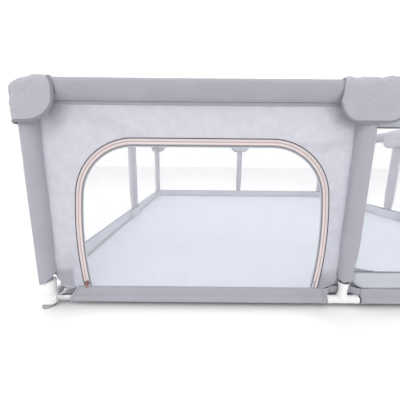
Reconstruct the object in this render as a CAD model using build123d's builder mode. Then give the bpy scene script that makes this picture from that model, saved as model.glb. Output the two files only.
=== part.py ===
from build123d import *

import math
import os

# Square baby playpen with a zipped doorway.
#
# Four sides of two bays each stand on a frame of steel tubes. Moulded connectors join the tubes at
# four corners and four side middles, and a suction foot stands under each corner. A sewn cover
# dresses the frame: padded tubes on the top rails, sleeves on the posts and bottom rails, caps over
# the top joints, net panels between them, and a floor mat. The front left bay holds an arched flap,
# closed by a zip that starts at the foot of its left side.
#
# The frame of reference: the floor is z = 0, the middle of the pen is x = y = 0 and the front is -Y.
# Pieces of one side are built at the front and turned about Z for the other three sides.

# Driving dimensions, in millimetres
BAY = 890  # between neighbouring rail joints
HALF = BAY  # from the middle of the pen to the rail axes
BOTTOM_RAIL_Z = 26
TOP_RAIL_Z = 619
TUBE_R = 9.5
TUBE_WALL = 0.8
FIT = 0.2  # radial clearance of a tube in its socket
END_GAP = 0.3  # between a tube's end and the bottom of its socket

# Connectors
SOCKET_R = 12
BORE_R = TUBE_R + FIT
RAIL_SEAT = 12  # from a corner's rail crossing to the bottom of its rail sockets
SHORT_ARM = 22
LONG_ARM = 42
POST_SOCKET_R = 17.5
POST_SEAT_Z = 42
CONNECTOR_BASE_Z = 13
NECK_TOP_Z = 84
TEE_ARM = 48
TEE_WEB = 8  # half of the solid middle of a tee
TEE_NECK_R = 11.8
TEE_CUP_R = 16.5
TOP_ARM = 45
TOP_POST_SEAT_Z = 605
TOP_NECK_Z = 572

# Suction feet
FOOT_SHIFT = 5
FOOT_R = 19
FOOT_NECK_R = 7

# Sewn cover
PAD_R = 26
COVER_R = 29
COVER_SKIN = 2.4
COVER_END = 34  # from a joint to the end of a top rail cover
SLEEVE_R = 24.6
SLEEVE_LOW_R = 18.6
SLEEVE_SKIN = 2
SLEEVE_LOW_Z = 90
SLEEVE_TOP_Z = 586
HEM_R = 12.4
HEM_TOP_Z = 62
HEM_START = 64  # from a corner to the end of a bottom rail sleeve
HEM_TEE_GAP = 50
CAP_OUT_R = 32.5
CAP_IN_R = 30.2
CAP_LOW_Z = 532
CAP_REACH = 84
MID_CAP_REACH = 90
PANEL_SKIN = 1.6
PANEL_LOW_Z = 62.6
PANEL_TOP_Z = 588.6
PANEL_SIDE = 25  # from a post's sleeve axis to a panel's edge
MAT_TOP_Z = 58
MAT_THICK = 8
MAT_HALF = 883.5

# Doorway
DOOR_X = -431
DOOR_HALF = 364
DOOR_TOP_Z = 499
DOOR_SIDE_R = 1064  # the sides bow outward on this radius
DOOR_SIDE_Z = 216  # height where the doorway is widest
DOOR_CORNER_R = 170
TAPE_EDGE = 8.4  # tape on the panel side, in from the doorway's edge
TAPE_START = 10.0  # tape on the flap side starts here
BINDING_START = 17
FLAP_START = 24
HINGE_Z = 64
FLAP_LOW_Z = HINGE_Z + 0.5
TAPE_PARK_Z = 86  # the flap's tape starts above the parked slider

# Zip slider and pull
COIL_IN = 9.2  # from the doorway's edge to the row of teeth
PARK_Z = 72
SLIDER_HALF_WIDTH = 5
SLIDER_HALF_LENGTH = 6.5
SLIDER_PLATE = 1.6
SLIDER_SLOT = 3.2  # between the slider's two plates
PIN_R = 0.8
PIN_OUT = 7.5  # from the panel's mid plane to the pull's pin
PIN_UP = 4
PULL_LENGTH = 17
PULL_WIDTH = 5.5
PULL_THICK = 1.2

SIDES = ("front", "right", "back", "left")
CORNERS = ("front_left", "front_right", "back_right", "back_left")
QUARTERS = range(4)
WALL = Plane.XZ.offset(HALF)  # the front wall's mid plane, normal to -Y


def save(part, name, quarter=0):
    """Writes one node, turned about Z by so many quarters."""
    placed = part.rotate(Axis.Z, 90 * quarter)
    placed.label = name
    export_step(placed, f"parts/{name}.step")


def save_group(part, name):
    """Writes the four turned copies of a piece as separate solids of one node."""
    copies = Compound([s for q in QUARTERS for s in part.rotate(Axis.Z, 90 * q).solids()])
    copies.label = name
    export_step(copies, f"parts/{name}.step")


def front_rings(outer, inner, height, spans):
    """Round tubes along the front side, one for each span in x."""
    with BuildPart() as rings:
        for start, end in spans:
            with BuildSketch(Plane.YZ.offset(start)):
                with Locations((-HALF, height)):
                    Circle(outer)
                    Circle(inner, mode=Mode.SUBTRACT)
            extrude(amount=end - start)
    return rings.part


def both_bays(corner_gap, middle_gap):
    """The spans in x of the two bays, less a gap at each corner and at the middle."""
    return [(-HALF + corner_gap, -middle_gap), (middle_gap, HALF - corner_gap)]


def upright_ring(outer, inner, low, high, centre):
    with BuildPart() as ring:
        with BuildSketch(Plane.XY.offset(low)):
            with Locations(centre):
                Circle(outer)
                Circle(inner, mode=Mode.SUBTRACT)
        extrude(amount=high - low)
    return ring.part


# Frame tubes
rail_gap = RAIL_SEAT + END_GAP
bottom_tubes = front_rings(
    TUBE_R, TUBE_R - TUBE_WALL, BOTTOM_RAIL_Z, both_bays(rail_gap, TEE_WEB + END_GAP)
)
top_tubes = front_rings(TUBE_R, TUBE_R - TUBE_WALL, TOP_RAIL_Z, both_bays(rail_gap, rail_gap))
post_axis = (-HALF, -HALF)
post_low, post_high = POST_SEAT_Z + END_GAP, TOP_POST_SEAT_Z - END_GAP
corner_post = upright_ring(TUBE_R, TUBE_R - TUBE_WALL, post_low, post_high, post_axis)
mid_post = upright_ring(TUBE_R, TUBE_R - TUBE_WALL, post_low, post_high, (0, -HALF))


def bottom_corner_connector():
    """Corner foot joint: two rail sockets side by side with an upright post socket, on a block."""
    with BuildPart() as joint:
        with BuildSketch(Plane.XY.offset(CONNECTOR_BASE_Z)):
            with Locations((-HALF, -HALF)):
                RectangleRounded(42, 42, 14)
        extrude(amount=6)
        with BuildSketch(Plane.XY.offset(CONNECTOR_BASE_Z + 6)):
            with Locations((-HALF, -HALF)):
                RectangleRounded(38, 38, 13)
        extrude(amount=22)
        # The post socket widens to a collar at its mouth
        with BuildSketch(Plane.XY.offset(CONNECTOR_BASE_Z)):
            with Locations(post_axis):
                Circle(POST_SOCKET_R)
        extrude(amount=NECK_TOP_Z - CONNECTOR_BASE_Z)
        with BuildSketch(Plane.XY.offset(NECK_TOP_Z - 8)):
            with Locations(post_axis):
                Circle(POST_SOCKET_R + 1.5)
        extrude(amount=5)
        arms = ((Plane.YZ, -HALF, SHORT_ARM), (Plane.XZ, HALF, -LONG_ARM))
        for plane, start, arm in arms:
            with BuildSketch(plane.offset(start)):
                with Locations((-HALF, BOTTOM_RAIL_Z)):
                    Circle(SOCKET_R)
            extrude(amount=arm)
            with BuildSketch(plane.offset(start + arm)):
                with Locations((-HALF, BOTTOM_RAIL_Z)):
                    Circle(SOCKET_R + 1)
            extrude(amount=math.copysign(5, -arm))
        for plane, start, arm in arms:
            with BuildSketch(plane.offset(start + math.copysign(RAIL_SEAT, arm))):
                with Locations((-HALF, BOTTOM_RAIL_Z)):
                    Circle(BORE_R)
            extrude(amount=math.copysign(HALF / 2, arm), mode=Mode.SUBTRACT)
        with BuildSketch(Plane.XY.offset(POST_SEAT_Z)):
            with Locations(post_axis):
                Circle(BORE_R)
        extrude(amount=HALF, mode=Mode.SUBTRACT)
        # Socket for the suction foot's stud, in the base
        with BuildSketch(Plane.XY.offset(CONNECTOR_BASE_Z)):
            with Locations((-HALF - FOOT_SHIFT, -HALF - FOOT_SHIFT)):
                Circle(FOOT_NECK_R - 3 + FIT)
        extrude(amount=3, mode=Mode.SUBTRACT)
        chamfer(joint.faces().sort_by(Axis.Z)[-1].edges(), 0.8)
    return joint.part


def bottom_tee_connector():
    """Side foot joint: a barrel along the rails and a flared cup for the post."""
    with BuildPart() as joint:
        with BuildSketch(Plane.YZ.offset(-TEE_ARM)):
            with Locations((-HALF, BOTTOM_RAIL_Z)):
                Circle(SOCKET_R)
        extrude(amount=2 * TEE_ARM)
        for end in (-TEE_ARM + 3, TEE_ARM - 9):
            with BuildSketch(Plane.YZ.offset(end)):
                with Locations((-HALF, BOTTOM_RAIL_Z)):
                    Circle(SOCKET_R + 0.9)
            extrude(amount=6)
        with BuildSketch(WALL):
            with BuildLine():
                Polyline((0, BOTTOM_RAIL_Z), (TEE_NECK_R + 6, BOTTOM_RAIL_Z), (TEE_NECK_R + 5, 36))
                ThreePointArc((TEE_NECK_R + 5, 36), (TEE_NECK_R + 1.2, 44), (TEE_NECK_R, 54))
                ThreePointArc((TEE_NECK_R, 54), (TEE_NECK_R + 1.4, 70), (TEE_CUP_R, NECK_TOP_Z))
                Polyline((TEE_CUP_R, NECK_TOP_Z), (0, NECK_TOP_Z), (0, BOTTOM_RAIL_Z))
            make_face()
        revolve(axis=Axis((0, -HALF, 0), (0, 0, 1)))
        # The cup's inside, flared for the sleeve's end
        with BuildSketch(Plane.XY.offset(NECK_TOP_Z)):
            with Locations((0, -HALF)):
                Circle(TEE_CUP_R - 2)
        with BuildSketch(Plane.XY.offset(70)):
            with Locations((0, -HALF)):
                Circle(BORE_R + 0.3)
        loft(mode=Mode.SUBTRACT)
        with BuildSketch(Plane.XY.offset(POST_SEAT_Z)):
            with Locations((0, -HALF)):
                Circle(BORE_R)
        extrude(amount=2 * TEE_ARM, mode=Mode.SUBTRACT)
        for side in (-1, 1):
            with BuildSketch(Plane.YZ.offset(side * TEE_WEB)):
                with Locations((-HALF, BOTTOM_RAIL_Z)):
                    Circle(BORE_R)
            extrude(amount=side * 2 * TEE_ARM, mode=Mode.SUBTRACT)
    return joint.part


def top_connector(arms, centre_x, post):
    """Joint inside a cap: rail sockets along the given arms and a post socket below."""
    with BuildPart() as joint:
        with BuildSketch(Plane.XY.offset(TOP_NECK_Z)):
            with Locations(post):
                Circle(SOCKET_R)
        extrude(amount=TOP_RAIL_Z - TOP_NECK_Z)
        with BuildSketch(Plane.XY.offset(TOP_RAIL_Z - SOCKET_R)):
            with Locations((centre_x, -HALF)):
                RectangleRounded(2 * SOCKET_R, 2 * SOCKET_R, 6)
        extrude(amount=2 * SOCKET_R)
        for plane, start, sign in arms:
            with BuildSketch(plane.offset(start)):
                with Locations((-HALF, TOP_RAIL_Z)):
                    Circle(SOCKET_R)
            extrude(amount=sign * TOP_ARM)
        for plane, start, sign in arms:
            with BuildSketch(plane.offset(start + sign * RAIL_SEAT)):
                with Locations((-HALF, TOP_RAIL_Z)):
                    Circle(BORE_R)
            extrude(amount=sign * HALF / 2, mode=Mode.SUBTRACT)
        with BuildSketch(Plane.XY.offset(TOP_POST_SEAT_Z)):
            with Locations(post):
                Circle(BORE_R)
        extrude(amount=-HALF / 2, mode=Mode.SUBTRACT)
    return joint.part


def suction_foot():
    """Soft cup on a stud that plugs into the corner connector."""
    centre = (-HALF - FOOT_SHIFT, -HALF - FOOT_SHIFT, 0)
    with BuildPart() as foot:
        with BuildSketch(Plane(origin=centre, x_dir=(1, 0, 0), z_dir=(0, -1, 0))):
            with BuildLine():
                Polyline((0, 3.2), (FOOT_R - 7, 1.6), (FOOT_R - 5, 0), (FOOT_R, 0), (FOOT_R, 1.5))
                ThreePointArc((FOOT_R, 1.5), (17, 6.4), (FOOT_NECK_R + 3, 9.5))
                Polyline(
                    (FOOT_NECK_R + 3, 9.5),
                    (FOOT_NECK_R + 3, CONNECTOR_BASE_Z - 0.2),
                    (FOOT_NECK_R - 3, CONNECTOR_BASE_Z - 0.2),
                    (FOOT_NECK_R - 3, CONNECTOR_BASE_Z + 2.6),
                    (0, CONNECTOR_BASE_Z + 2.6),
                    (0, 3.2),
                )
            make_face()
        revolve(axis=Axis(centre, (0, 0, 1)))
    return foot.part


def post_sleeve(x, y, low_r):
    """Fabric tube round a post, drawn in towards its foot."""
    taper_z = SLEEVE_LOW_Z + 110
    with BuildPart() as sleeve:
        with BuildSketch(Plane.XZ.offset(-y)):
            with Locations((x, 0)):
                Polygon(
                    (low_r, SLEEVE_LOW_Z),
                    (SLEEVE_R, taper_z),
                    (SLEEVE_R, SLEEVE_TOP_Z),
                    (SLEEVE_R - SLEEVE_SKIN, SLEEVE_TOP_Z),
                    (SLEEVE_R - SLEEVE_SKIN, taper_z),
                    (low_r - SLEEVE_SKIN, SLEEVE_LOW_Z),
                    align=None,
                )
        revolve(axis=Axis((x, y, 0), (0, 0, 1)))
    return sleeve.part


def bottom_sleeve():
    """Fabric loop round each bottom rail, drawn up to a flat hem under the panels."""
    hem_half = 1.5
    with BuildPart() as sleeve:
        for start, end in both_bays(HEM_START, HEM_TEE_GAP):
            with BuildSketch(Plane.YZ.offset(start)):
                with Locations((-HALF, BOTTOM_RAIL_Z)):
                    Circle(HEM_R)
                    Polygon(
                        (-HEM_R * math.cos(0.38), HEM_R * math.sin(0.38)),
                        (HEM_R * math.cos(0.38), HEM_R * math.sin(0.38)),
                        (hem_half, HEM_TOP_Z - BOTTOM_RAIL_Z),
                        (-hem_half, HEM_TOP_Z - BOTTOM_RAIL_Z),
                        align=None,
                    )
                    Circle(TUBE_R + 0.4, mode=Mode.SUBTRACT)
            extrude(amount=end - start)
    return sleeve.part


def vault(radius, start, end):
    """Upright-sided arch along the front rail, as a solid block."""
    with BuildPart() as block:
        with BuildSketch(Plane.YZ.offset(start)):
            with Locations((-HALF, TOP_RAIL_Z)):
                Circle(radius)
                Rectangle(2 * radius, 400, align=(Align.CENTER, Align.MAX))
        extrude(amount=end - start)
    return block.part


def corner_cap():
    """Cap over a corner's top joint: two arched arms, open below, with curved lower edges."""
    far = -HALF - CAP_OUT_R
    tip = -HALF + CAP_REACH
    diagonal = Plane(origin=(0, 0, 0), z_dir=(1, -1, 0))
    with BuildPart() as cap:
        for radius, end, mode in ((CAP_OUT_R, tip + 5, Mode.ADD), (CAP_IN_R, tip + 10, Mode.SUBTRACT)):
            arm = vault(radius, -HALF, end)
            add(arm, mode=mode)
            add(arm.mirror(diagonal), mode=mode)
            with BuildSketch(Plane(origin=(-HALF, -HALF, 0), x_dir=(1, 0, 0), z_dir=(0, -1, 0))):
                with BuildLine():
                    Polyline((0, TOP_RAIL_Z + radius), (0, 300), (radius, 300), (radius, TOP_RAIL_Z))
                    RadiusArc((radius, TOP_RAIL_Z), (0, TOP_RAIL_Z + radius), -radius)
                make_face()
            revolve(axis=Axis((-HALF, -HALF, 0), (0, 0, 1)), mode=mode)
        for plane, depth in ((Plane.XZ, 2 * HALF), (Plane.YZ, -2 * HALF)):
            with BuildSketch(plane):
                with BuildLine():
                    Polyline((far - 5, 700), (tip - 18, 700), (tip - 18, 652), (tip, 590))
                    ThreePointArc((tip, 590), (tip - 11, 558), (tip - 40, CAP_LOW_Z + 6))
                    Polyline((tip - 40, CAP_LOW_Z + 6), (far - 5, CAP_LOW_Z), (far - 5, 700))
                make_face()
            extrude(amount=depth, mode=Mode.INTERSECT)
    return cap.part


def mid_cap():
    """Cap over a side's top joint, a saddle on the rail with rounded lower corners."""
    reach = MID_CAP_REACH
    with BuildPart() as cap:
        add(vault(CAP_OUT_R, -reach, reach))
        add(vault(CAP_IN_R, -reach - 5, reach + 5), mode=Mode.SUBTRACT)
        with BuildSketch(Plane.XZ):
            with BuildLine():
                Polyline((-reach, 590), (20 - reach, 652), (reach - 20, 652), (reach, 590))
                ThreePointArc((reach, 590), (reach - 18, 553), (reach - 58, CAP_LOW_Z))
                Line((reach - 58, CAP_LOW_Z), (58 - reach, CAP_LOW_Z))
                ThreePointArc((58 - reach, CAP_LOW_Z), (18 - reach, 553), (-reach, 590))
            make_face()
        extrude(amount=2 * HALF, mode=Mode.INTERSECT)
    return cap.part


def panel_outline(x):
    """Outline of one bay's panel, with lower corners cut to clear the foot joints."""
    half = BAY / 2 - PANEL_SIDE
    across, up = 54, 32
    with BuildLine() as line:
        Polyline((x - half, PANEL_LOW_Z + up), (x - half, PANEL_TOP_Z), (x + half, PANEL_TOP_Z),
                 (x + half, PANEL_LOW_Z + up))
        for side in (1, -1):
            edge = x + side * half
            ThreePointArc(
                (edge, PANEL_LOW_Z + up),
                (edge - side * 0.426 * across, PANEL_LOW_Z + 0.267 * up),
                (edge - side * across, PANEL_LOW_Z),
            )
        Line((x + half - across, PANEL_LOW_Z), (x - half + across, PANEL_LOW_Z))
    return line.line


def net_panels(bays):
    """Panels of net in the front plane, one for each bay's middle."""
    with BuildPart() as panels:
        for x in bays:
            with BuildSketch(WALL):
                add(panel_outline(x))
                make_face()
            extrude(amount=PANEL_SKIN / 2, both=True)
    return panels.part


def arch(inset, low_z):
    """The doorway's outline as a face, moved in by inset and cut off level at low_z."""
    side_x = DOOR_HALF - DOOR_SIDE_R
    drop = 400  # the outline runs on below the panel, and is cut level
    with BuildSketch(WALL) as face:
        with BuildLine():
            ends = []
            for side in (-1, 1):
                low, high = [
                    (DOOR_X + side * (side_x + math.sqrt(DOOR_SIDE_R**2 - (z - DOOR_SIDE_Z) ** 2)), z)
                    for z in (DOOR_SIDE_Z - drop, DOOR_TOP_Z)
                ]
                ThreePointArc(low, (DOOR_X + side * DOOR_HALF, DOOR_SIDE_Z), high)
                ends.append((low, high))
            Line(ends[0][1], ends[1][1])
            Line(ends[0][0], ends[1][0])
        make_face()
        fillet(face.vertices().group_by(Axis.Y)[-1], DOOR_CORNER_R)
        if inset:
            offset(amount=-inset, kind=Kind.INTERSECTION)
        with Locations((DOOR_X, low_z)):
            Rectangle(4 * DOOR_HALF, 4 * DOOR_HALF, align=(Align.CENTER, Align.MAX),
                      mode=Mode.SUBTRACT)
    return face.sketch


def arch_ring(outer_inset, inner_inset, low_z, thick):
    """A band that follows the doorway, between two insets."""
    with BuildPart() as ring:
        extrude(arch(outer_inset, low_z), amount=thick / 2, both=True)
        if inner_inset is not None:
            extrude(arch(inner_inset, low_z - 50), amount=thick, both=True, mode=Mode.SUBTRACT)
    return ring.part


def door_panel():
    """The front left bay's panel, cut out for the doorway."""
    with BuildPart() as panel:
        with BuildSketch(WALL):
            add(panel_outline(-BAY / 2))
            make_face()
        extrude(amount=PANEL_SKIN / 2, both=True)
        extrude(arch(0, 0), amount=PANEL_SKIN, both=True, mode=Mode.SUBTRACT)
    return panel.part


def floor_mat():
    """Floor pad, notched round the posts' foot joints."""
    with BuildPart() as mat:
        with BuildSketch(Plane.XY.offset(MAT_TOP_Z - MAT_THICK)):
            Rectangle(2 * MAT_HALF, 2 * MAT_HALF)
            with GridLocations(2 * HALF, 2 * HALF, 2, 2):
                Circle(POST_SOCKET_R + 12, mode=Mode.SUBTRACT)
            with PolarLocations(HALF, 4):
                Circle(TEE_CUP_R + 4, mode=Mode.SUBTRACT)
        extrude(amount=MAT_THICK)
    return mat.part


def park(part):
    """Turns a piece built at the doorway's widest height down the track to its parking place."""
    centre_x = DOOR_X - DOOR_HALF + DOOR_SIDE_R
    angle = math.degrees(math.asin((DOOR_SIDE_Z - PARK_Z) / (DOOR_SIDE_R - COIL_IN)))
    return part.rotate(Axis((centre_x, -HALF, DOOR_SIDE_Z), (0, 1, 0)), -angle)


def zip_slider(x):
    """Two plates round the tapes, joined by a blade in the row of teeth, with lugs for the pull."""
    with BuildPart() as slider:
        for start, amount in ((SLIDER_SLOT / 2, SLIDER_PLATE), (-SLIDER_SLOT / 2, -SLIDER_PLATE)):
            with BuildSketch(WALL.offset(start)):
                with Locations((x, DOOR_SIDE_Z)):
                    RectangleRounded(2 * SLIDER_HALF_WIDTH, 2 * SLIDER_HALF_LENGTH, 3)
            extrude(amount=amount)
        with BuildSketch(WALL.offset(-SLIDER_SLOT / 2)):
            with Locations((x, DOOR_SIDE_Z + 4)):
                Rectangle(1, 6)
        extrude(amount=SLIDER_SLOT)
        front = SLIDER_SLOT / 2 + SLIDER_PLATE
        for lug in (-1, 1):
            with BuildSketch(Plane.YZ.offset(x + lug * 4.4 - 0.6)):
                with BuildLine():
                    Polyline(
                        (-HALF - PIN_OUT, DOOR_SIDE_Z + PIN_UP - 1.8),
                        (-HALF - front, DOOR_SIDE_Z + PIN_UP - 3.4),
                        (-HALF - front, DOOR_SIDE_Z + PIN_UP + 3.4),
                        (-HALF - PIN_OUT, DOOR_SIDE_Z + PIN_UP + 1.8),
                    )
                    ThreePointArc(
                        (-HALF - PIN_OUT, DOOR_SIDE_Z + PIN_UP + 1.8),
                        (-HALF - PIN_OUT - 1.8, DOOR_SIDE_Z + PIN_UP),
                        (-HALF - PIN_OUT, DOOR_SIDE_Z + PIN_UP - 1.8),
                    )
                make_face()
            extrude(amount=1.2)
        with BuildSketch(Plane.YZ.offset(x - 4.4)):
            with Locations((-HALF - PIN_OUT, DOOR_SIDE_Z + PIN_UP)):
                Circle(PIN_R)
        extrude(amount=8.8)
    return slider.part


def zip_pull(x):
    """Tab that hangs from the slider's pin."""
    with BuildPart() as pull:
        with BuildSketch(WALL.offset(PIN_OUT - PULL_THICK / 2)):
            with Locations((x, DOOR_SIDE_Z + PIN_UP - PULL_LENGTH / 2)):
                RectangleRounded(PULL_WIDTH, PULL_LENGTH, 2.4)
            with Locations((x, DOOR_SIDE_Z + PIN_UP - PULL_LENGTH + 5)):
                Circle(1.4, mode=Mode.SUBTRACT)
        extrude(amount=PULL_THICK)
        with BuildSketch(Plane.YZ.offset(x - PULL_WIDTH / 2)):
            with Locations((-HALF - PIN_OUT, DOOR_SIDE_Z + PIN_UP)):
                Circle(1.8)
        extrude(amount=PULL_WIDTH)
        with BuildSketch(Plane.YZ.offset(x - PULL_WIDTH)):
            with Locations((-HALF - PIN_OUT, DOOR_SIDE_Z + PIN_UP)):
                Circle(PIN_R + 0.1)
        extrude(amount=2 * PULL_WIDTH, mode=Mode.SUBTRACT)
    return pull.part


os.makedirs("parts", exist_ok=True)

save_group(top_tubes, "top_rail_tubes")
save_group(corner_post, "corner_post_tubes")
save_group(mid_post, "mid_post_tubes")
corner_arms = ((Plane.YZ, -HALF, 1), (Plane.XZ, HALF, -1))
tee_arms = ((Plane.YZ, 0, 1), (Plane.YZ, 0, -1))
save_group(top_connector(corner_arms, -HALF, post_axis), "top_corner_connectors")
save_group(top_connector(tee_arms, 0, (0, -HALF)), "top_tee_connectors")
pads = front_rings(PAD_R, TUBE_R + 0.3, TOP_RAIL_Z, both_bays(TOP_ARM + 2, TOP_ARM + 2))
save_group(pads, "top_rail_pads")

side_pieces = {
    "bottom_rail_tubes_{}": bottom_tubes,
    "bottom_tee_connector_{}": bottom_tee_connector(),
    "top_rail_covers_{}": front_rings(
        COVER_R, COVER_R - COVER_SKIN, TOP_RAIL_Z, both_bays(COVER_END, COVER_END)
    ),
    "post_sleeve_{}_middle": post_sleeve(0, -HALF, SLEEVE_LOW_R),
    "bottom_rail_sleeves_{}": bottom_sleeve(),
    "mid_cap_{}": mid_cap(),
}
corner_pieces = {
    "bottom_corner_connector_{}": bottom_corner_connector(),
    "suction_foot_{}": suction_foot(),
    "post_sleeve_{}": post_sleeve(-HALF, -HALF, SLEEVE_R),
    "corner_cap_{}": corner_cap(),
}
full_side = net_panels((-BAY / 2, BAY / 2))
for quarter in QUARTERS:
    for name, piece in side_pieces.items():
        save(piece, name.format(SIDES[quarter]), quarter)
    for name, piece in corner_pieces.items():
        save(piece, name.format(CORNERS[quarter]), quarter)
    if quarter:
        save(full_side, f"net_panels_{SIDES[quarter]}", quarter)

save(net_panels((BAY / 2,)), "net_panel_front_right")
save(door_panel(), "door_panel")
save(floor_mat(), "floor_mat")
save(arch_ring(0.2, TAPE_EDGE, PANEL_LOW_Z, PANEL_SKIN), "zip_tape_panel")
save(arch_ring(TAPE_START, BINDING_START - 0.2, TAPE_PARK_Z, PANEL_SKIN), "zip_tape_flap")
save(arch_ring(BINDING_START, FLAP_START - 0.2, FLAP_LOW_Z, PANEL_SKIN), "flap_binding")
save(arch_ring(FLAP_START, None, FLAP_LOW_Z, PANEL_SKIN), "door_flap")
teeth_x = DOOR_X - DOOR_HALF + COIL_IN
save(park(zip_slider(teeth_x)), "zip_slider")
save(park(zip_pull(teeth_x)), "zip_pull")
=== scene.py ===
import math

import bpy
from mathutils import Matrix, Vector, noise


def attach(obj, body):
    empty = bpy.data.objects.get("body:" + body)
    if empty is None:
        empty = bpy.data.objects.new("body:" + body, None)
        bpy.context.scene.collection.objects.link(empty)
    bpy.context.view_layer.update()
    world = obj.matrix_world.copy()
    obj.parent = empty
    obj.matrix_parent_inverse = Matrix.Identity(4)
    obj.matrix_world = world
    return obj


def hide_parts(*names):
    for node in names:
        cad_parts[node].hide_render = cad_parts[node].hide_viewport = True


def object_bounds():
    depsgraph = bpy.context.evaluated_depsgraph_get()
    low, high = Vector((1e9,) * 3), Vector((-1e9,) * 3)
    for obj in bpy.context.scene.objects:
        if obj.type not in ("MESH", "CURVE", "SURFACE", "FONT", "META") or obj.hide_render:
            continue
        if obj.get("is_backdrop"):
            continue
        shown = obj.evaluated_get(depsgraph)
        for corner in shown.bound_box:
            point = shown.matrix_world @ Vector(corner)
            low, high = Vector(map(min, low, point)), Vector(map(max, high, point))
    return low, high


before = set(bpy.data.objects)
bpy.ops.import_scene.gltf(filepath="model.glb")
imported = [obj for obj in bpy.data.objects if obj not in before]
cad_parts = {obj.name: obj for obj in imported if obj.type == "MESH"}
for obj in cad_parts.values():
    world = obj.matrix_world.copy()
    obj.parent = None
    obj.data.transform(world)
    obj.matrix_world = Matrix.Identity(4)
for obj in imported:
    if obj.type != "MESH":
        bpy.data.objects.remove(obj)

cad_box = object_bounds()

# The pen's own measures, in metres, as the CAD has them
HALF = 0.890
RAIL_Z = 0.619
LOW_RAIL_Z = 0.026
HEM_TOP = 0.062
PANEL_LOW, PANEL_TOP = 0.0626, 0.5886
PANEL_SIDE = 0.025
PANEL_HALF = HALF / 2 - PANEL_SIDE
SLEEVE_R = 0.0246
MAT_TOP, MAT_LOW = 0.058, 0.050
DOOR_X = -0.431
DOOR_HALF = 0.364
DOOR_TOP = 0.499
SIDE_R = 1.064
SIDE_Z = 0.216
CORNER_R = 0.170
CORNER_X, CORNER_Z = 0.18683, 0.329
SIDE_END = math.radians(7.26)
FLAP_LOW = 0.0645
TAPE_PARK = 0.086

# The cloth's own measures
CAP_LOW = 0.537
BAND_TOP = 0.1165
TOP_BAND_LOW = 0.530
NET_CLEAR = 0.0232
SKIN = 0.0011
PIPING = 0.0019
SIDES = ("front", "right", "back", "left")
CORNERS = ("front_left", "front_right", "back_right", "back_left")


# ---------------------------------------------------------------- camera, light and floor

def show(name, data):
    """Puts a camera, light or mesh into the scene."""
    thing = bpy.data.objects.new(name, data)
    bpy.context.scene.collection.objects.link(thing)
    return thing


def place_camera():
    """Below the top rail, close to the front wall, and pitched a little down."""
    pitch, roll = math.radians(10.20), math.radians(0.504)
    forward = Vector((0, math.cos(pitch), -math.sin(pitch)))
    flat_right = Vector((1, 0, 0))
    flat_up = flat_right.cross(forward)
    right = math.cos(roll) * flat_right + math.sin(roll) * flat_up
    up = right.cross(forward)
    data = bpy.data.cameras.new("camera")
    data.sensor_width = 36
    data.lens = 19.53
    data.shift_x = 0.0047
    data.shift_y = -0.0008
    data.clip_start = 0.02
    cam = show("camera", data)
    turn = Matrix((right, up, -forward)).transposed().to_4x4()
    cam.matrix_world = Matrix.Translation((-0.4423, -1.4923, 0.4401)) @ turn
    bpy.context.scene.camera = cam


def area_light(name, place, aim, size, power):
    data = bpy.data.lights.new(name, "AREA")
    data.shape = "RECTANGLE"
    data.size, data.size_y = size
    data.energy = power
    lamp = show(name, data)
    lamp.location = place
    lamp.rotation_euler = (Vector(aim) - Vector(place)).to_track_quat("-Z", "Y").to_euler()


def node(tree, kind, **values):
    n = tree.nodes.new(kind)
    for key, value in values.items():
        setattr(n, key, value)
    return n


def link(tree, a, b):
    tree.links.new(a, b)


def range_node(tree, value, low, high, span=(0.0, 1.0), kind="LINEAR"):
    """Maps a value that runs over a span on to low to high."""
    n = node(tree, "ShaderNodeMapRange", interpolation_type=kind)
    for key, v in (("From Min", span[0]), ("From Max", span[1]), ("To Min", low), ("To Max", high)):
        n.inputs[key].default_value = v
    link(tree, value, n.inputs["Value"])
    return n.outputs["Result"]


def set_sky():
    """A white backdrop behind the pen, and a dimmer room on the other sides."""
    world = bpy.data.worlds.new("studio")
    bpy.context.scene.world = world
    world.use_nodes = True
    tree = world.node_tree
    sky = tree.nodes["Background"]
    sky.inputs["Color"].default_value = (1.0, 1.0, 1.0, 1)
    toward = node(tree, "ShaderNodeSeparateXYZ")
    link(tree, node(tree, "ShaderNodeTexCoord").outputs["Generated"], toward.inputs[0])
    fade = range_node(tree, toward.outputs["Y"], 0.80, 1.2, (-0.5, 0.35), "SMOOTHSTEP")
    link(tree, fade, sky.inputs["Strength"])


def set_stage():
    set_sky()
    area_light("key", (-1.6, -3.2, 3.0), (-0.4, -0.4, 0.3), (2.6, 2.0), 30)
    area_light("fill", (2.6, -2.2, 2.2), (0, 0, 0.3), (2.4, 2.0), 10)
    area_light("top", (0, 0.4, 3.4), (0, 0, 0), (3.0, 3.0), 34)
    mesh = bpy.data.meshes.new("floor")
    reach = 14.0
    mesh.from_pydata([(-reach, -reach, 0), (reach, -reach, 0), (reach, reach, 0), (-reach, reach, 0)],
                     [], [(0, 1, 2, 3)])
    floor = show("studio_floor", mesh)
    mat, _, bsdf = new_material("studio_floor", 0.9)
    bsdf.inputs["Base Color"].default_value = (0.985, 0.985, 0.985, 1)
    mesh.materials.append(mat)
    floor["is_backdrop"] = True
    bpy.context.scene.view_settings.view_transform = "Standard"


# ---------------------------------------------------------------- materials

def srgb(r, g, b):
    """An 8-bit screen colour as a linear one."""
    out = []
    for v in (r, g, b):
        v /= 255
        out.append(v / 12.92 if v <= 0.04045 else ((v + 0.055) / 1.055) ** 2.4)
    return (*out, 1)


def new_material(name, roughness=0.85, **inputs):
    mat = bpy.data.materials.new(name)
    mat.use_nodes = True
    bsdf = mat.node_tree.nodes["Principled BSDF"]
    bsdf.inputs["Roughness"].default_value = roughness
    for key, value in inputs.items():
        bsdf.inputs[key.replace("_", " ")].default_value = value
    return mat, mat.node_tree, bsdf


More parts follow.
